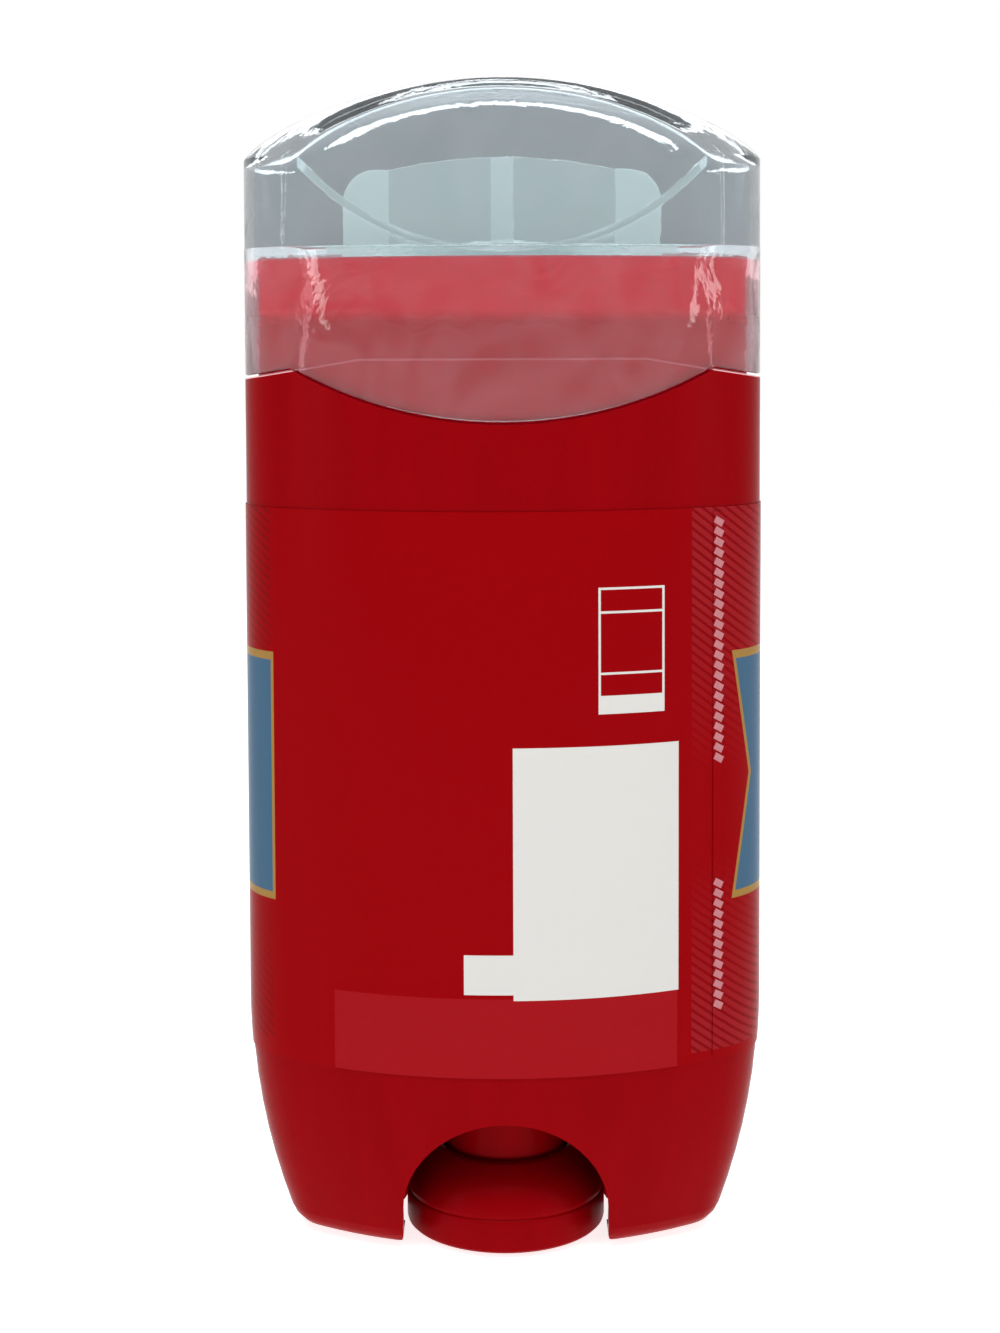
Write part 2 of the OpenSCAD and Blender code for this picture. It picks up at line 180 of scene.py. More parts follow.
def from_cad(name, node, material, body, angle=28, ring=None):
    """A merged and smoothly shaded copy of a CAD node, which it stands for, with a turned ring if one is given."""
    bm = bmesh.new()
    bm.from_mesh(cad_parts[node].data)
    bmesh.ops.remove_doubles(bm, verts=bm.verts, dist=2e-6)
    bmesh.ops.dissolve_degenerate(bm, edges=bm.edges, dist=1e-7)
    if ring:
        turned(bm, ring)
    sharpen(bm, angle)
    mesh = bpy.data.meshes.new(name)
    bm.to_mesh(mesh)
    bm.free()
    if "custom_normal" in mesh.attributes:
        mesh.attributes.remove(mesh.attributes["custom_normal"])
    obj = new_piece(name, mesh, material, body)
    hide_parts(node)
    return obj


def oval_point(turn, out):
    """Point of the barrel's oval whose side faces a direction, moved out by a distance."""
    side_x = 1 if math.cos(turn) >= 0 else -1
    side_y = 1 if math.sin(turn) >= 0 else -1
    lean = math.acos(min(1.0, abs(math.cos(turn))))
    if lean <= math.pi / 2 - MEET:
        centre, radius = (END_X, 0.0), END_R + out
    else:
        centre, radius = (0.0, -FACE_Y), FACE_R + out
    x = centre[0] + radius * math.cos(lean)
    y = centre[1] + radius * math.sin(lean)
    return side_x * x, side_y * y


# ---- finishes ----


def moulded_red(name, colour, roughness, neck=False):
    """Injection-moulded polypropylene: a deep even red with a soft gloss and faint flow marks."""
    material, tree, shader, place = finish_of(name)
    # Flow marks run up the moulding, about 4 mm wide, and vary the red by a few percent
    stretched = put(tree, "ShaderNodeMapping", {"Vector": place, "Scale": (250.0, 250.0, 30.0)})
    flow = put(tree, "ShaderNodeTexNoise", {"Vector": stretched, "Scale": 1.0, "Detail": 2.0})
    tone = layered(tree, shaded(colour, 0.82), [(flow, colour)])
    if neck:
        across, _, up = millimetres(tree, place)
        aside = put(tree, "ShaderNodeMath", [across], operation="ABSOLUTE")
        seat = put(tree, "ShaderNodeMapRange", [aside, SEAT_LEVEL, HALF_W, SEAT_MID, SEAT_END])
        square = put(tree, "ShaderNodeMath", [aside, aside], operation="MULTIPLY")
        left = put(tree, "ShaderNodeMath", [TONGUE_R**2, square], operation="SUBTRACT")
        chord = put(tree, "ShaderNodeMath", [left], operation="SQRT")
        tongue = put(tree, "ShaderNodeMath", [TONGUE_LOW + TONGUE_R, chord], operation="SUBTRACT")
        edge = put(tree, "ShaderNodeMath", [seat, tongue], operation="MINIMUM")
        tone = layered(tree, tone, [
            # Under the cap the light that runs in its walls brightens the red
            (put(tree, "ShaderNodeMath", [up, edge], operation="GREATER_THAN"), linear("#CC1228")),
            # The thin neck lets light through above the snap beads, and is brighter there
            (put(tree, "ShaderNodeMapRange", [up, BEAD_H - 0.2, BEAD_H + 1.2]), linear("#FA2C50")),
            # The seat's small step catches the light as a pale line
            (put(tree, "ShaderNodeMath", [up, seat, 0.13], operation="COMPARE"), linear("#F0B4B8")),
        ])
    # The skin's slight waviness has cells of about 1.2 mm
    skin = put(tree, "ShaderNodeTexNoise", {"Vector": place, "Scale": 800.0, "Detail": 3.0})
    wavy = put(tree, "ShaderNodeBump", {"Height": skin, "Distance": 0.00003, "Strength": 0.5})
    feed(tree, shader, {"Base Color": tone, "Roughness": roughness, "IOR": 1.49, "Specular IOR Level": 0.02,
                        "Normal": wavy})
    return material


def plain_white(name):
    """Unpigmented moulded polypropylene: milky white, with a dull skin."""
    material, tree, shader, place = finish_of(name)
    cloud = put(tree, "ShaderNodeTexNoise", {"Vector": place, "Scale": 300.0, "Detail": 2.0})
    tone = layered(tree, linear("#DCDCD6"), [(cloud, linear("#F0F0EC"))])
    wavy = put(tree, "ShaderNodeBump", {"Height": cloud, "Distance": 0.00002, "Strength": 0.4})
    feed(tree, shader, {"Base Color": tone, "Roughness": 0.42, "IOR": 1.49, "Normal": wavy})
    return material


def clear_styrene(name, colour, roughness, clear, cell, depth, fin=False, painted_rosy_light=False):
    """Clear moulded styrene: nearly water-clear walls with a faint uneven veil and frozen flow ripples; it can also
    carry a painted rosy tint over the red neck and a painted glow in the seal.
    """
    material, tree, shader, place = finish_of(name)
    across, through, up = millimetres(tree, place)
    # The veil drifts in soft streaks about as wide as a cell
    veil = put(tree, "ShaderNodeTexNoise", {"Vector": place, "Scale": 0.6 / cell, "Detail": 5.0, "Distortion": 2.5})
    weight = put(tree, "ShaderNodeMapRange", [veil, 0.35, 0.65, clear - 0.02, clear + 0.02])
    # The flow ripples are drawn at the given cell size so that they show
    flow = put(tree, "ShaderNodeTexNoise", {"Vector": place, "Scale": 1.0 / cell, "Detail": 4.0, "Distortion": 1.2})
    ripple = put(tree, "ShaderNodeBump", {"Height": flow, "Distance": depth, "Strength": 1.0})
    feed(tree, shader, {"Base Color": colour, "Roughness": roughness, "IOR": 1.4, "Normal": ripple})
    if painted_rosy_light:
        # Where the wall covers the red neck, a rosy tint is painted on it to stand for the light that runs in the
        # wall
        low = put(tree, "ShaderNodeMath", [up, RIM_H - 0.2], operation="LESS_THAN")
        feed(tree, shader, {"Base Color": layered(tree, colour, [(low, linear("#F6C8CF"))])})
    if fin:
        # The fin's pads and rib are thick, so their veil is stronger
        aside = put(tree, "ShaderNodeMath", [across], operation="ABSOLUTE")
        pad = put(tree, "ShaderNodeMath", [aside, FIN_PAD], operation="GREATER_THAN")
        rib = put(tree, "ShaderNodeMath", [aside, FIN_RIB], operation="LESS_THAN")
        either = put(tree, "ShaderNodeMath", [pad, rib], operation="MAXIMUM")
        thick = overlap(tree, either, put(tree, "ShaderNodeMath", [through, 0.0, FIN_HALF], operation="COMPARE"))
        weight = put(tree, "ShaderNodeMath", [thick, -0.3, weight], operation="MULTIPLY_ADD")
        # Light that the clear walls carry inside comes out of the seal, and more so out of the pads and the rib
        glow = put(tree, "ShaderNodeMath", [thick, 0.09, 0.11], operation="MULTIPLY_ADD")
        feed(tree, shader, {"Emission Color": linear("#E2F0F2"), "Emission Strength": glow})
    feed(tree, shader, {"Transmission Weight": weight})
    return material


def edge_lit_styrene(name, colour):
    """The rounded edges of clear styrene, where light that runs inside the wall comes out as a white line."""
    material, tree, shader, place = finish_of(name)
    grain = put(tree, "ShaderNodeTexNoise", {"Vector": place, "Scale": 900.0, "Detail": 2.0})
    tone = layered(tree, colour, [(grain, shaded(colour, 1.1))])
    feed(tree, shader, {"Base Color": tone, "Roughness": 0.3, "Transmission Weight": 0.15, "IOR": 1.4})
    return material


def solid_gel(name, colour):
    """Clear deodorant gel: a soft turquoise block that light goes into and comes back out of."""
    material, tree, shader, place = finish_of(name)
    cloud = put(tree, "ShaderNodeTexNoise", {"Vector": place, "Scale": 160.0, "Detail": 2.0})
    tone = layered(tree, colour, [(cloud, shaded(colour, 1.25))])
    feed(tree, shader, {"Base Color": tone, "Roughness": 0.12, "IOR": 1.4, "Transmission Weight": 0.35,
                        "Subsurface Weight": 0.4, "Subsurface Radius": (0.004, 0.006, 0.007)})
    return material


def field(tree, across, up, box):
    """1 inside an upright box of the print: left, right, low and high in millimetres."""
    left, right, low, high = box
    return overlap(tree, *(
        put(tree, "ShaderNodeMath", [value, (start + end) / 2, (end - start) / 2], operation="COMPARE")
        for value, start, end in ((across, left, right), (up, low, high))))


def stripes(tree, across, up, slope, pitch, share):
    """1 on slanted stripes of a pitch in millimetres."""
    leaning = put(tree, "ShaderNodeMath", [across, slope, up], operation="MULTIPLY_ADD")
    count = put(tree, "ShaderNodeMath", [leaning, pitch], operation="DIVIDE")
    phase = put(tree, "ShaderNodeMath", [count], operation="FRACT")
    return put(tree, "ShaderNodeMath", [phase, share], operation="LESS_THAN")


def far_from(tree, value, middle):
    """How far a coordinate lies from a middle."""
    off = put(tree, "ShaderNodeMath", [value, middle], operation="SUBTRACT")
    return put(tree, "ShaderNodeMath", [off], operation="ABSOLUTE")


def printed_film(name, settings):
    """Printed polypropylene film: glossy red ink with flat fields of colour and fine slanted hatching."""
    material, tree, shader, place = finish_of(name)
    across, depth, up = millimetres(tree, place)
    front = put(tree, "ShaderNodeMath", [depth, 0.0], operation="LESS_THAN")

    # A slightly paler field across the lower edge, where the film is printed thinner
    layers = [(overlap(tree, front, field(tree, across, up, (-20.6, 20.8, 0.0, 33.4))), linear("#9E141B"))]

    # Slanted hatching, 1.15 mm apart, in two columns that fade in the middle of the height
    fade = put(tree, "ShaderNodeMapRange", [far_from(tree, up, 54.0), 5.0, 26.0])
    hatch = stripes(tree, across, up, 0.8, 1.15, 0.38)
    ground = put(tree, "ShaderNodeMath", [1.0, hatch], operation="SUBTRACT")
    right = field(tree, across, up, (22.6, 40.0, 25.0, 92.5))
    left = field(tree, across, up, (-40.0, -28.4, 26.0, 92.5))
    for zone, lines, strength, ink in (
        (right, hatch, 0.75, "#7E0A12"), (left, hatch, 0.6, "#6E0A10"), (right, ground, 0.5, "#9C2A30"),
    ):
        layers.append((overlap(tree, zone, lines, fade, strength), linear(ink)))

    # Blue side fields with gold borders: the right one is cut to a shallow notch, the left one is straight
    notch = put(tree, "ShaderNodeMapRange", [far_from(tree, up, 58.6), 0.0, 15.2, 2.3, 0.0])
    notched = put(tree, "ShaderNodeMath", [across, notch], operation="SUBTRACT")
    blue, gold = linear_of(settings.side_blue), linear_of(settings.side_gold)
    layers += [
        (field(tree, notched, up, (27.75, 40.0, 43.4, 73.9)), gold),
        (field(tree, notched, up, (28.1, 40.0, 44.3, 72.9)), blue),
        (field(tree, across, up, (-40.0, -28.05, 43.4, 73.9)), gold),
        (field(tree, across, up, (-40.0, -28.4, 44.3, 72.9)), blue),
    ]

    # The white panel's two rectangles, and the outlined box above it with its rules and its filled foot
    box_left, box_right, box_low, box_high, rule = 11.2, 19.2, 67.3, 82.4, 0.28
    for shape in (
        (1.0, 20.95, 33.2, 63.5),
        (-4.9, 1.1, 33.9, 38.7),
        (box_left, box_left + rule, box_low, box_high),
        (box_right - rule, box_right, box_low, box_high),
        (box_left, box_right, box_high - rule, box_high),
        (box_left, box_right, box_low, box_low + 2.2),
        (box_left, box_right, 79.3, 79.3 + rule),
        (box_left, box_right, 72.0, 72.0 + rule),
    ):
        layers.append((overlap(tree, front, field(tree, across, up, shape)), linear_of(settings.panel_white)))

    # The film's shrink wrinkles are about 3 mm apart and almost flat
    wrinkle = put(tree, "ShaderNodeTexNoise", {"Vector": place, "Scale": 330.0, "Detail": 2.0})
    wavy = put(tree, "ShaderNodeBump", {"Height": wrinkle, "Distance": 0.00004, "Strength": 0.4})
    feed(tree, shader, {"Base Color": layered(tree, linear_of(settings.film_red), layers), "Roughness": 0.24,
                        "IOR": 1.49, "Specular IOR Level": 0.02, "Normal": wavy})
    return material


def flat_ink(name, colour, roughness):
    """Printed ink on film: an even matt colour with slight mottling."""
    material, tree, shader, place = finish_of(name)
    mottle = put(tree, "ShaderNodeTexNoise", {"Vector": place, "Scale": 1500.0, "Detail": 2.0})
    tone = layered(tree, shaded(colour, 0.8), [(mottle, colour)])
    feed(tree, shader, {"Base Color": tone, "Roughness": roughness, "Specular IOR Level": 0.3})
    return material


def linear_of(colour):
    """An opaque linear colour from a colour property, which already holds linear values."""
    return [colour[0], colour[1], colour[2], 1.0]


# ---- the clear cap's mesh ----


def soft_least(a, b, reach):
    """The smaller of two lengths, rounded where they meet."""
    share = max(0.0, min(1.0, 0.5 + 0.5 * (b - a) / reach))
    return b * (1 - share) + a * share - reach * share * (1 - share)


def oval_reach(y, out):
    """Half width of the oval at a depth."""
    if abs(y) < (END_R + out) * math.cos(MEET):
        return END_X + math.sqrt((END_R + out) ** 2 - y * y)
    return math.sqrt((FACE_R + out) ** 2 - (abs(y) + FACE_Y) ** 2)


def crown_height(x, y, inset, edge_r):
    """Height of the crown's top over a point, rounded down at the edges of its flat faces."""
    width = oval_reach(min(abs(y), FACE_HALF), -inset)
    across = min(1.0, abs(x) / width)
    rise = CROWN_RISE - FACE_FALL * (y / FACE_HALF) ** 2
    z = CROWN_TOP - CROWN_RISE - inset + rise * (1 - across * across) ** 0.75
    near = FACE_HALF - inset - abs(y)
    if near < edge_r:
        z -= edge_r - math.sqrt(max(0.0, edge_r**2 - (edge_r - max(0.0, near)) ** 2))
    return z


def cap_edge(x):
    """Height of the cap's lower edge: the seat's line, or the tongue's arc where that is lower."""
    slope = (SEAT_MID - SEAT_END) / (HALF_W - SEAT_LEVEL)
    seat = SEAT_MID - max(0.0, abs(x) - SEAT_LEVEL) * slope + CAP_GAP
    tongue = TONGUE_LOW + TONGUE_R - math.sqrt((TONGUE_R - CAP_GAP) ** 2 - x * x)
    return min(seat, tongue)


def cap_columns(wall, edge_r, round_r):
    """One column of points for each direction round the cap, from the outer pole down and up to the inner pole."""
    count = 384
    lip = 0.25
    # The crown's walls stand a little inside the oval, and meet in rounded corners
    tuck, corner = 0.05, 0.7
    # Shares of the way from the crown's middle to its edge, closest where the edge is rounded
    rings = [1.0, 0.9985, 0.996, 0.992, 0.987, 0.98, 0.972, 0.962, 0.95, 0.936, 0.92, 0.902, 0.88, 0.85, 0.81,
             0.76, 0.7, 0.63, 0.55, 0.46, 0.36, 0.26, 0.16, 0.08]
    columns = []
    for k in range(count):
        turn = 2 * math.pi * (k + 0.5) / count
        foot = []
        for inset, face in ((tuck, FACE_HALF), (wall + tuck, FACE_HALF - wall)):
            x, y = oval_point(turn, -inset)
            foot.append((x, math.copysign(soft_least(abs(y), face, corner), y)))
        outer, inner = oval_point(turn, 0.0), oval_point(turn, -wall)
        ledge = math.hypot(outer[0] - foot[0][0], outer[1] - foot[0][1])
        r = min(round_r, 0.4 * ledge)
        column = []
        for s in reversed(rings):
            x, y = foot[0][0] * s, foot[0][1] * s
            column.append((x, y, crown_height(x, y, 0.0, edge_r)))
        column.append((foot[0][0], foot[0][1], LEDGE_TOP + 0.02))
        for t in (0, 30, 60, 90):
            back = r * (1 - math.sin(math.radians(t)))
            x, y = oval_point(turn, -back)
            column.append((x, y, LEDGE_TOP - r * (1 - math.cos(math.radians(t)))))
        low = cap_edge(outer[0])
        x, y = oval_point(turn, -lip * 0.3)
        column.append((outer[0], outer[1], low + lip))
        column.append((x, y, low + lip * 0.3))
        for inset, rise in ((lip, 0.0), (wall - lip, 0.0), (wall, lip)):
            x, y = oval_point(turn, -inset)
            column.append((x, y, cap_edge(x) + rise))
        column.append((inner[0], inner[1], LEDGE_UNDER))
        column.append((foot[1][0], foot[1][1], LEDGE_UNDER + 0.02))
        for s in rings:
            x, y = foot[1][0] * s, foot[1][1] * s
            column.append((x, y, crown_height(x, y, wall, edge_r * 0.5)))
        columns.append(column)
    return columns


def edge_lit(column, i):
    """True for a strip of the cap that shows as a white line; strips are counted from the outer pole."""
    lip_strips, wall_strip, top_strips = (29, 30), 23, (20, 21, 37)
    creases, top_end = (25.2, 26.1), 25.6
    if i in lip_strips:
        return True
    x, y, _ = column[24]
    # Two creases stand at each end of the front face, and the faces' top edges run between them
    if i == wall_strip and y < 0 and any(abs(abs(x) - crease) < 0.1 for crease in creases):
        return True
    return abs(x) < top_end and i in top_strips


def cap_mesh(name, wall, edge_r, round_r):
    """The closed mesh of the cap: its columns joined side by side, with a pole outside and one inside."""
    columns = cap_columns(wall, edge_r, round_r)
    bm = bmesh.new()
    grid = [[bm.verts.new([c * MM for c in point]) for point in column] for column in columns]
    top = bm.verts.new((0, 0, CROWN_TOP * MM))
    under = bm.verts.new((0, 0, (CROWN_TOP - wall) * MM))
    for k, left in enumerate(grid):
        right = grid[(k + 1) % len(grid)]
        bm.faces.new((top, left[0], right[0]))
        for i in range(len(left) - 1):
            face = bm.faces.new((left[i], left[i + 1], right[i + 1], right[i]))
            face.material_index = int(edge_lit(columns[k], i))
        bm.faces.new((left[-1], under, right[-1]))
    bmesh.ops.remove_doubles(bm, verts=bm.verts, dist=1e-7)
    bmesh.ops.recalc_face_normals(bm, faces=bm.faces)
    sharpen(bm, 35)
    mesh = bpy.data.meshes.new(name)
    bm.to_mesh(mesh)
    bm.free()
    return mesh


# ---- the twisted border, repeated with Geometry Nodes ----


def border_tree(material):
    """A node tree that sets a small slanted block of ink on each point of a line."""
    tree = bpy.data.node_groups.new("twisted_border", "GeometryNodeTree")
    face = tree.interface
    face.new_socket("Geometry", in_out="INPUT", socket_type="NodeSocketGeometry")
    for title, value in (("Block Width", 0.0013), ("Block Height", 0.0009), ("Ink Thickness", 0.00004),
                         ("Slant", 0.6), ("Facing", 0.0)):
        socket = face.new_socket(title, in_out="INPUT", socket_type="NodeSocketFloat")
        socket.default_value = value
    face.new_socket("Geometry", in_out="OUTPUT", socket_type="NodeSocketGeometry")
    given = put(tree, "NodeGroupInput").outputs
    size = put(tree, "ShaderNodeCombineXYZ", [given["Block Width"], given["Ink Thickness"], given["Block Height"]])
    block = put(tree, "GeometryNodeMeshCube", {"Size": size})
    lean = put(tree, "ShaderNodeCombineXYZ", {"Y": given["Slant"]})
    slanted = put(tree, "GeometryNodeTransform", {"Geometry": block, "Rotation": lean})
    facing = put(tree, "ShaderNodeCombineXYZ", {"Z": given["Facing"]})
    points = put(tree, "GeometryNodeMeshToPoints", {"Mesh": given["Geometry"]})
    placed = put(tree, "GeometryNodeInstanceOnPoints", {"Points": points, "Instance": slanted, "Rotation": facing})
    real = put(tree, "GeometryNodeRealizeInstances", {"Geometry": placed})
    inked = put(tree, "GeometryNodeSetMaterial", {"Geometry": real, "Material": material})
    put(tree, "NodeGroupOutput", {"Geometry": inked})
    return tree


def repeated_blocks(name, points, tree, values):
    """A plain mesh of the blocks that the tree sets on the points."""
    line = bpy.data.meshes.new(name + "_line")
    line.from_pydata([Vector(p) * MM for p in points], [], [])
    holder = bpy.data.objects.new(name + "_line", line)
    bpy.context.scene.collection.objects.link(holder)
    modifier = holder.modifiers.new("Blocks", "NODES")
    modifier.node_group = tree
    sockets = {s.name: s.identifier for s in tree.interface.items_tree if s.in_out == "INPUT"}
    for title, value in values.items():
        modifier[sockets[title]] = value
    graph = bpy.context.evaluated_depsgraph_get()
    mesh = bpy.data.meshes.new_from_object(holder.evaluated_get(graph))
    mesh.name = name
    bpy.data.objects.remove(holder)
    return mesh


# ---- settings ----


class StickColours(bpy.types.PropertyGroup):
    """Colours of the plastics and the gel."""

    body_red: bpy.props.FloatVectorProperty(
        name="Body Red", description="Colour of the moulded barrel and dial", subtype="COLOR",
        size=3, min=0, max=1, default=linear("#95020A")[:3])
    cap_clear: bpy.props.FloatVectorProperty(
        name="Cap Tint", description="Tint of the clear cap's walls", subtype="COLOR",
        size=3, min=0, max=1, default=linear("#E9F0F4")[:3])
    seal_clear: bpy.props.FloatVectorProperty(
        name="Seal Tint", description="Tint of the clear factory seal", subtype="COLOR",
        size=3, min=0, max=1, default=linear("#EAF3F1")[:3])
    gel_turquoise: bpy.props.FloatVectorProperty(
        name="Gel", description="Colour of the clear gel", subtype="COLOR",
        size=3, min=0, max=1, default=linear("#A9DCE2")[:3])


class LabelSettings(bpy.types.PropertyGroup):
    """Colours of the printed film and the sizes of its twisted border."""

    film_red: bpy.props.FloatVectorProperty(
        name="Film Red", description="Ground colour of the film", subtype="COLOR",
        size=3, min=0, max=1, default=linear("#930208")[:3])
    side_blue: bpy.props.FloatVectorProperty(
        name="Side Blue", description="Colour of the fields at the two sides", subtype="COLOR",
        size=3, min=0, max=1, default=linear("#466680")[:3])
    side_gold: bpy.props.FloatVectorProperty(
        name="Side Gold", description="Colour of the borders of the side fields", subtype="COLOR",
        size=3, min=0, max=1, default=linear("#A07C42")[:3])
    panel_white: bpy.props.FloatVectorProperty(
        name="Panel White", description="Colour of the bare white panels", subtype="COLOR",
        size=3, min=0, max=1, default=linear("#D9D8D4")[:3])
    border_pink: bpy.props.FloatVectorProperty(
        name="Border Pink", description="Colour of the twisted border", subtype="COLOR",
        size=3, min=0, max=1, default=linear("#C87C82")[:3])
    border_pitch: bpy.props.FloatProperty(
        name="Border Pitch", description="Distance between the border's blocks",
        default=0.00125, min=0.0008, max=0.003, subtype="DISTANCE", unit="LENGTH")


class CapSettings(bpy.types.PropertyGroup):
    """Sizes of the clear cap."""

    wall: bpy.props.FloatProperty(
        name="Wall", description="Thickness of the cap's wall",
        default=0.00115, min=0.0009, max=0.0015, subtype="DISTANCE", unit="LENGTH")
    edge_radius: bpy.props.FloatProperty(
        name="Edge Radius", description="Rounding of the crown's front and back edges",
        default=0.0009, min=0.0003, max=0.001, subtype="DISTANCE", unit="LENGTH")
    ledge_radius: bpy.props.FloatProperty(
        name="Ledge Radius", description="Rounding of the ledge's outer edge",
        default=0.0005, min=0.0001, max=0.0008, subtype="DISTANCE", unit="LENGTH")


class StageSettings(bpy.types.PropertyGroup):
    """Camera and light."""

    camera_distance: bpy.props.FloatProperty(
        name="Camera Distance", description="From the camera to the stick's middle plane",
        default=0.275, min=0.2, max=1.5, subtype="DISTANCE", unit="LENGTH")
    camera_height: bpy.props.FloatProperty(
        name="Camera Height", description="Height of the lens above the floor",
        default=0.112, min=0.0, max=0.4, subtype="DISTANCE", unit="LENGTH")
    light: bpy.props.FloatProperty(
        name="Light", description="Strength of the studio lights", default=1.0, min=0.1, max=4.0)


# ---- operators ----


class STICK_OT_barrel(bpy.types.Operator):
    """Dresses the barrel in moulded red plastic"""

    bl_idname = "stick.barrel"
    bl_label = "Barrel"

    def execute(self, context):
        colour = linear_of(context.scene.stick_colours.body_red)
        red = moulded_red("moulded_red_polypropylene", colour, roughness=0.25, neck=True)
        from_cad("barrel_shell", "barrel", red, "barrel")
        return {"FINISHED"}


class STICK_OT_lift(bpy.types.Operator):
    """Dresses the dial, the feed screw and the elevator"""

    bl_idname = "stick.lift"
    bl_label = "Dial and Lift"

    def execute(self, context):
        red = moulded_red("moulded_red_dial", linear_of(context.scene.stick_colours.body_red), roughness=0.3)
        white = plain_white("natural_white_polypropylene")
        # The dial's top swells to a dome that stops at the bearing boss, and its underside runs inside the solid
        steps, last = 12, math.acos(BOSS_CLEAR / DIAL_EDGE_R)
        dome = []
        for i in range(steps + 1):
            lean = last * i / steps
            dome.append((DIAL_EDGE_R * math.cos(lean), DIAL_EDGE_H + DIAL_SWELL * math.sin(lean)))
        underside = [(BOSS_CLEAR, 6.4), (11.6, 4.2)]
        from_cad("thumb_dial", "dial", red, "drive", ring=dome + underside)
        from_cad("lift_screw", "feed_screw", white, "drive")
        from_cad("lift_platform", "elevator", white, "stick")
        return {"FINISHED"}


class STICK_OT_gel(bpy.types.Operator):
    """Dresses the gel and the factory seal over it"""

    bl_idname = "stick.gel"
    bl_label = "Gel and Seal"

    def execute(self, context):
        colours = context.scene.stick_colours
        gel = solid_gel("clear_turquoise_gel", linear_of(colours.gel_turquoise))
        from_cad("gel_block", "gel_stick", gel, "stick")
        clear = clear_styrene("clear_seal_styrene", linear_of(colours.seal_clear),
                              roughness=0.2, clear=0.86, cell=0.004, depth=0.00005, fin=True)
        from_cad("shipping_seal", "factory_seal", clear, "stick")
        return {"FINISHED"}


class STICK_OT_cap(bpy.types.Operator):
    """Builds the clear cap with its crown, ledge and tongues"""

    bl_idname = "stick.cap"
    bl_label = "Cap"

    def execute(self, context):
        sizes = context.scene.cap_settings
        # The cap's skirt over the red neck gets a painted rosy tint for the light carried in its wall
        clear = clear_styrene("clear_cap_styrene", linear_of(context.scene.stick_colours.cap_clear),
                              roughness=0.03, clear=0.945, cell=0.007, depth=0.0001, painted_rosy_light=True)
        edge = edge_lit_styrene("edge_lit_cap_styrene", linear_of(context.scene.stick_colours.cap_clear))
        mesh = cap_mesh("clear_cap", sizes.wall / MM, sizes.edge_radius / MM, sizes.ledge_radius / MM)
        cap = new_piece("clear_cap", mesh, clear, "cap")
        mesh.materials.append(edge)
        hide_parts("cap")
        return {"FINISHED"}


class STICK_OT_label(bpy.types.Operator):
    """Dresses the label film and adds its twisted border"""

    bl_idname = "stick.label"
    bl_label = "Label"

    def execute(self, context):
        settings = context.scene.label_settings
        film = printed_film("printed_label_film", settings)
        from_cad("label_wrap", "label_film", film, "barrel")
        pink = flat_ink("twisted_border_ink", linear_of(settings.border_pink), roughness=0.4)
        turn = math.asin(BORDER_X / FACE_R)
        x, y = oval_point(turn - math.pi / 2, BORDER_OUT)
        pitch = settings.border_pitch / MM
        points = [(x, y, low + k * pitch) for low, high in BORDER_SPANS for k in range(int((high - low) / pitch))]
        mesh = repeated_blocks("twisted_border", points, border_tree(pink), {
            "Block Width": 0.0013, "Block Height": 0.00085, "Ink Thickness": 0.00006,
            "Slant": 0.5, "Facing": turn})
        new_piece("twisted_border", mesh, pink, "barrel")
        return {"FINISHED"}


class STICK_OT_stage(bpy.types.Operator):
    """Sets the floor, the studio light and the camera"""

    bl_idname = "stick.stage"
    bl_label = "Stage"

    def execute(self, context):
        settings = context.scene.stage_settings
        bpy.ops.mesh.primitive_plane_add(size=6.0, location=(0, 0, -0.0002))
        floor = context.active_object
        floor.name = "studio_floor"
        pale, tree, shader, _ = finish_of("pale_studio_floor")
        feed(tree, shader, {"Base Color": linear("#F4F4F4"), "Roughness": 0.9, "Specular IOR Level": 0.0,
                            "Emission Color": linear("#FFFFFF"), "Emission Strength": 0.82})
        floor.data.materials.append(pale)

        world = bpy.data.worlds.new("white_room")
        world.use_nodes = True
        context.scene.world = world
        tree = world.node_tree
        path = put(tree, "ShaderNodeLightPath")
        # White behind the object, grey where it is seen through the clear plastics, and dimmer still as light
        strength = 0.28
        for ray, more in (("Is Camera Ray", 0.72), ("Is Transmission Ray", -0.50), ("Is Glossy Ray", 0.6)):
            strength = put(tree, "ShaderNodeMath", [path.outputs[ray], more, strength], operation="MULTIPLY_ADD")
        feed(tree, tree.nodes["Background"], {"Color": linear("#FFFFFF"), "Strength": strength})

        aim = Vector((0, 0, 0.07))
        # The top light isn't seen through the clear plastics, where it would show as a white patch
        for name, place, size, power, seen_through in (
            ("left_softbox", (-0.50, -0.30, 0.28), (0.03, 0.50), 0.35, True),
            ("right_softbox", (0.50, -0.25, 0.28), (0.025, 0.50), 0.3, True),
            ("top_softbox", (0.0, -0.28, 0.62), (0.60, 0.16), 1.9, False),
            ("back_softbox", (0.0, 0.60, 0.45), (0.60, 0.30), 1.0, True),
        ):
            data = bpy.data.lights.new(name, "AREA")
            data.shape = "RECTANGLE"
            data.size, data.size_y = size
            data.energy = power * settings.light
            lamp = bpy.data.objects.new(name, data)
            context.scene.collection.objects.link(lamp)
            lamp.location = place
            lamp.visible_transmission = seen_through
            lamp.rotation_euler = (aim - Vector(place)).to_track_quat("-Z", "Y").to_euler()

        context.scene.view_settings.view_transform = "Standard"
        add_camera(context, settings)
        return {"FINISHED"}


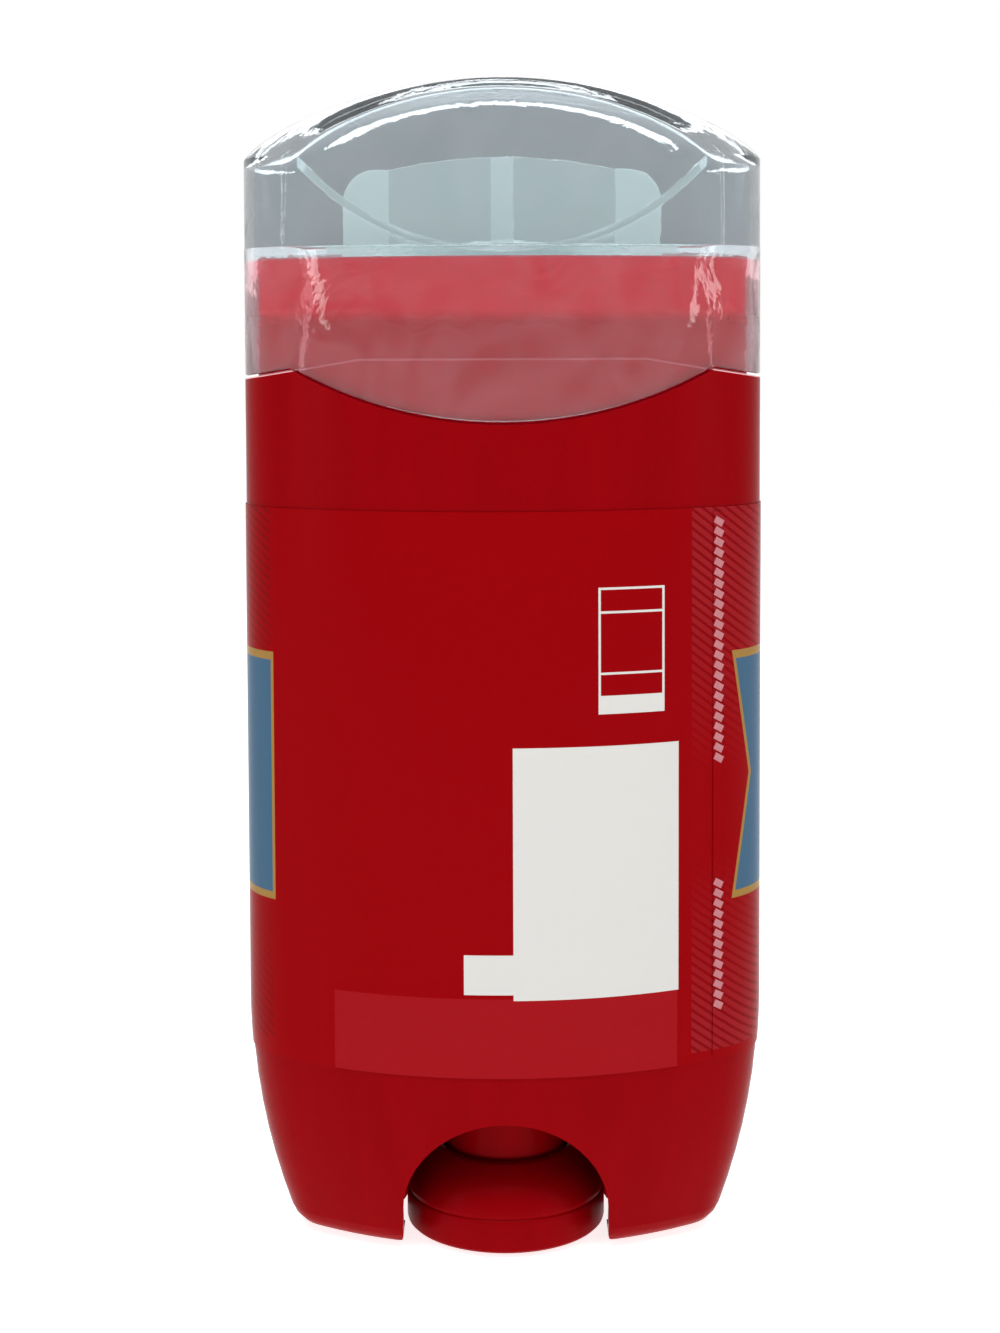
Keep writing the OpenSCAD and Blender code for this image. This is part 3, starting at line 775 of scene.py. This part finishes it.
def add_camera(context, settings):
    """The photograph's near view from the front, framed by a small tilt and a small shift."""
    picture_w, picture_h = 1000, 1333
    # Scale of the photograph in the stick's middle plane, and the stick's middle column in it
    pixels_per_mm, middle_column = 7.97, 502.5
    # Lengthens the lens a little, so that the sides match the photograph's
    longer = 1.006
    tilt, roll = math.radians(3.36), math.radians(0.22)
    distance = settings.camera_distance
    data = bpy.data.cameras.new("front_camera")
    data.sensor_width = 36.0
    data.lens = pixels_per_mm * distance / MM * longer / picture_h * data.sensor_width
    data.shift_y = -0.15
    data.clip_start, data.clip_end = 0.01, 20.0
    camera = bpy.data.objects.new("front_camera", data)
    context.scene.collection.objects.link(camera)
    sideways = (picture_w / 2 - middle_column) / pixels_per_mm * MM
    camera.location = (sideways, -distance, settings.camera_height)
    camera.rotation_euler = (math.pi / 2 - tilt, roll, 0)
    context.scene.camera = camera


class STICK_PT_panel(bpy.types.Panel):
    """Lists the stick's pieces in the sidebar"""

    bl_idname = "STICK_PT_panel"
    bl_label = "Deodorant Stick"
    bl_space_type = "VIEW_3D"
    bl_region_type = "UI"
    bl_category = "Stick"

    def draw(self, context):
        for group in GROUPS:
            settings = getattr(context.scene, group)
            for key in settings.bl_rna.properties.keys():
                if key not in ("rna_type", "name"):
                    self.layout.prop(settings, key)
        for operator in OPERATORS:
            self.layout.operator(operator.bl_idname)


OPERATORS = (STICK_OT_barrel, STICK_OT_lift, STICK_OT_gel, STICK_OT_cap, STICK_OT_label, STICK_OT_stage)
GROUPS = {
    "stick_colours": StickColours,
    "label_settings": LabelSettings,
    "cap_settings": CapSettings,
    "stage_settings": StageSettings,
}


def register():
    """Adds the settings, the operators and the panel to Blender."""
    for group in GROUPS.values():
        bpy.utils.register_class(group)
    for name, group in GROUPS.items():
        setattr(bpy.types.Scene, name, bpy.props.PointerProperty(type=group))
    for kind in (*OPERATORS, STICK_PT_panel):
        bpy.utils.register_class(kind)


def unregister():
    """Takes them out again."""
    for kind in (STICK_PT_panel, *reversed(OPERATORS)):
        bpy.utils.unregister_class(kind)
    for name, group in GROUPS.items():
        delattr(bpy.types.Scene, name)
        bpy.utils.unregister_class(group)


def main():
    """Builds every piece and the stage."""
    register()
    for operator in OPERATORS:
        area, name = operator.bl_idname.split(".")
        getattr(getattr(bpy.ops, area), name)()
    bpy.context.view_layer.update()


if __name__ == "__main__":
    main()
